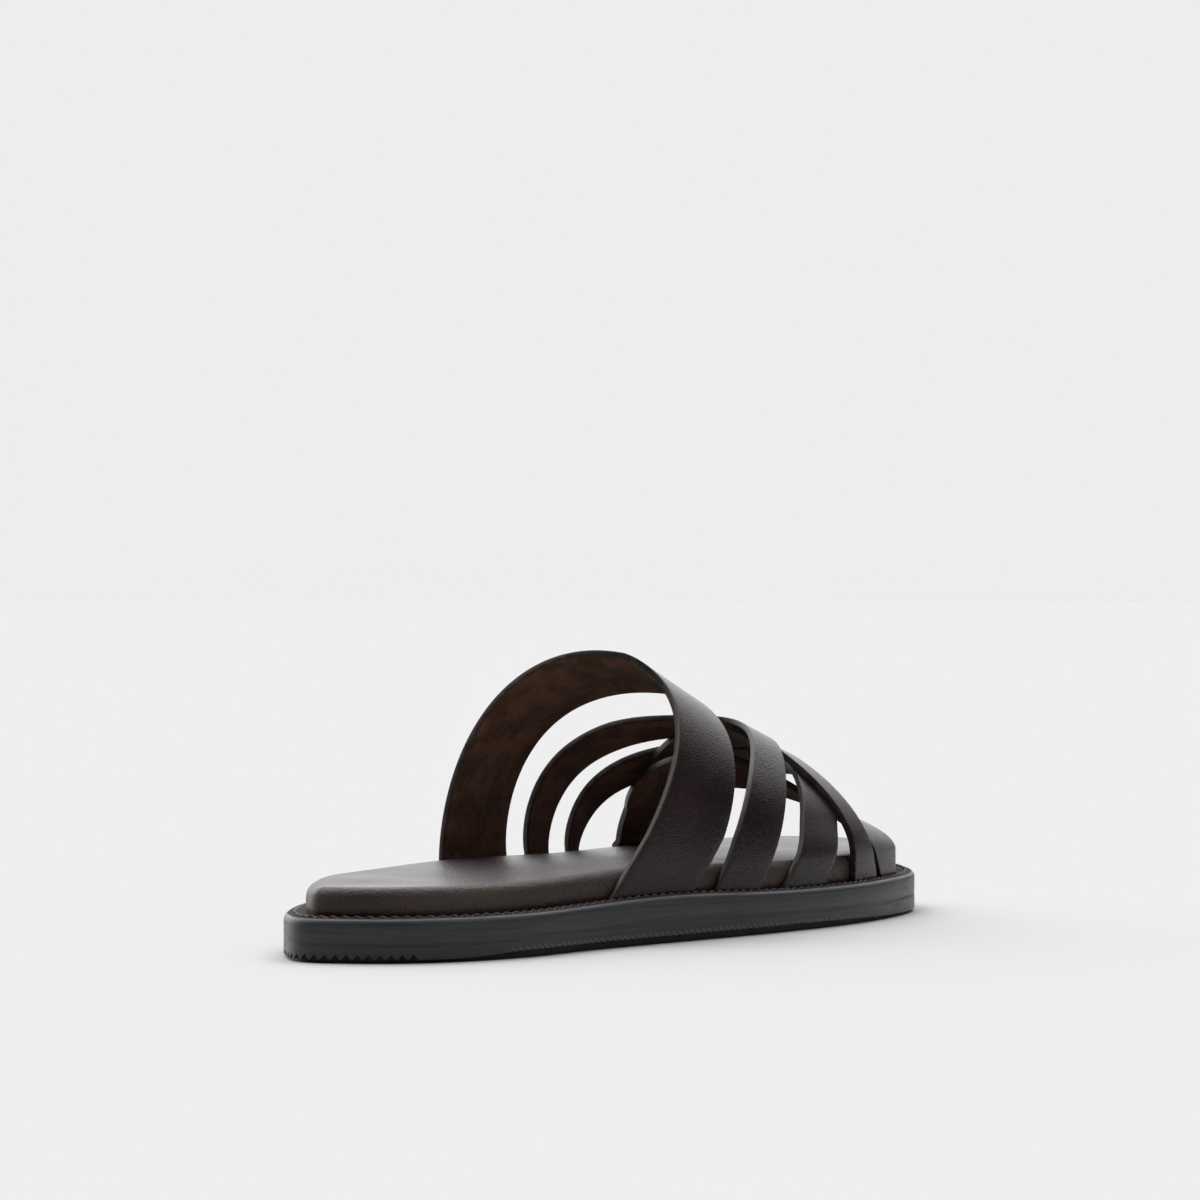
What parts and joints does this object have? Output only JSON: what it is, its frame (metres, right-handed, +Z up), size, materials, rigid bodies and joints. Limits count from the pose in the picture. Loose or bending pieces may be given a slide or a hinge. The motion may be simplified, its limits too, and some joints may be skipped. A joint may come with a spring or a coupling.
{
  "type": "huarache sandal",
  "caption": "Open leather slide for the right foot: wide instep strap, crossing forefoot straps, padded footbed and a rubber sole with a toothed heel.",
  "frame": {"origin": "on the floor under the middle of the sole", "axes": "+X from heel to toe, +Y to the inner side of the right foot, +Z up"},
  "size_m": [0.29, 0.1006, 0.0833],
  "materials": {
    "sole_rubber": "satin",
    "footbed_leather": "satin",
    "strap_leather": "satin"
  },
  "bodies": {
    "root": {"outsole": "sole_rubber", "footbed": "footbed_leather", "instep_strap": "strap_leather", "woven_straps": "strap_leather"}
  },
  "joints": []
}
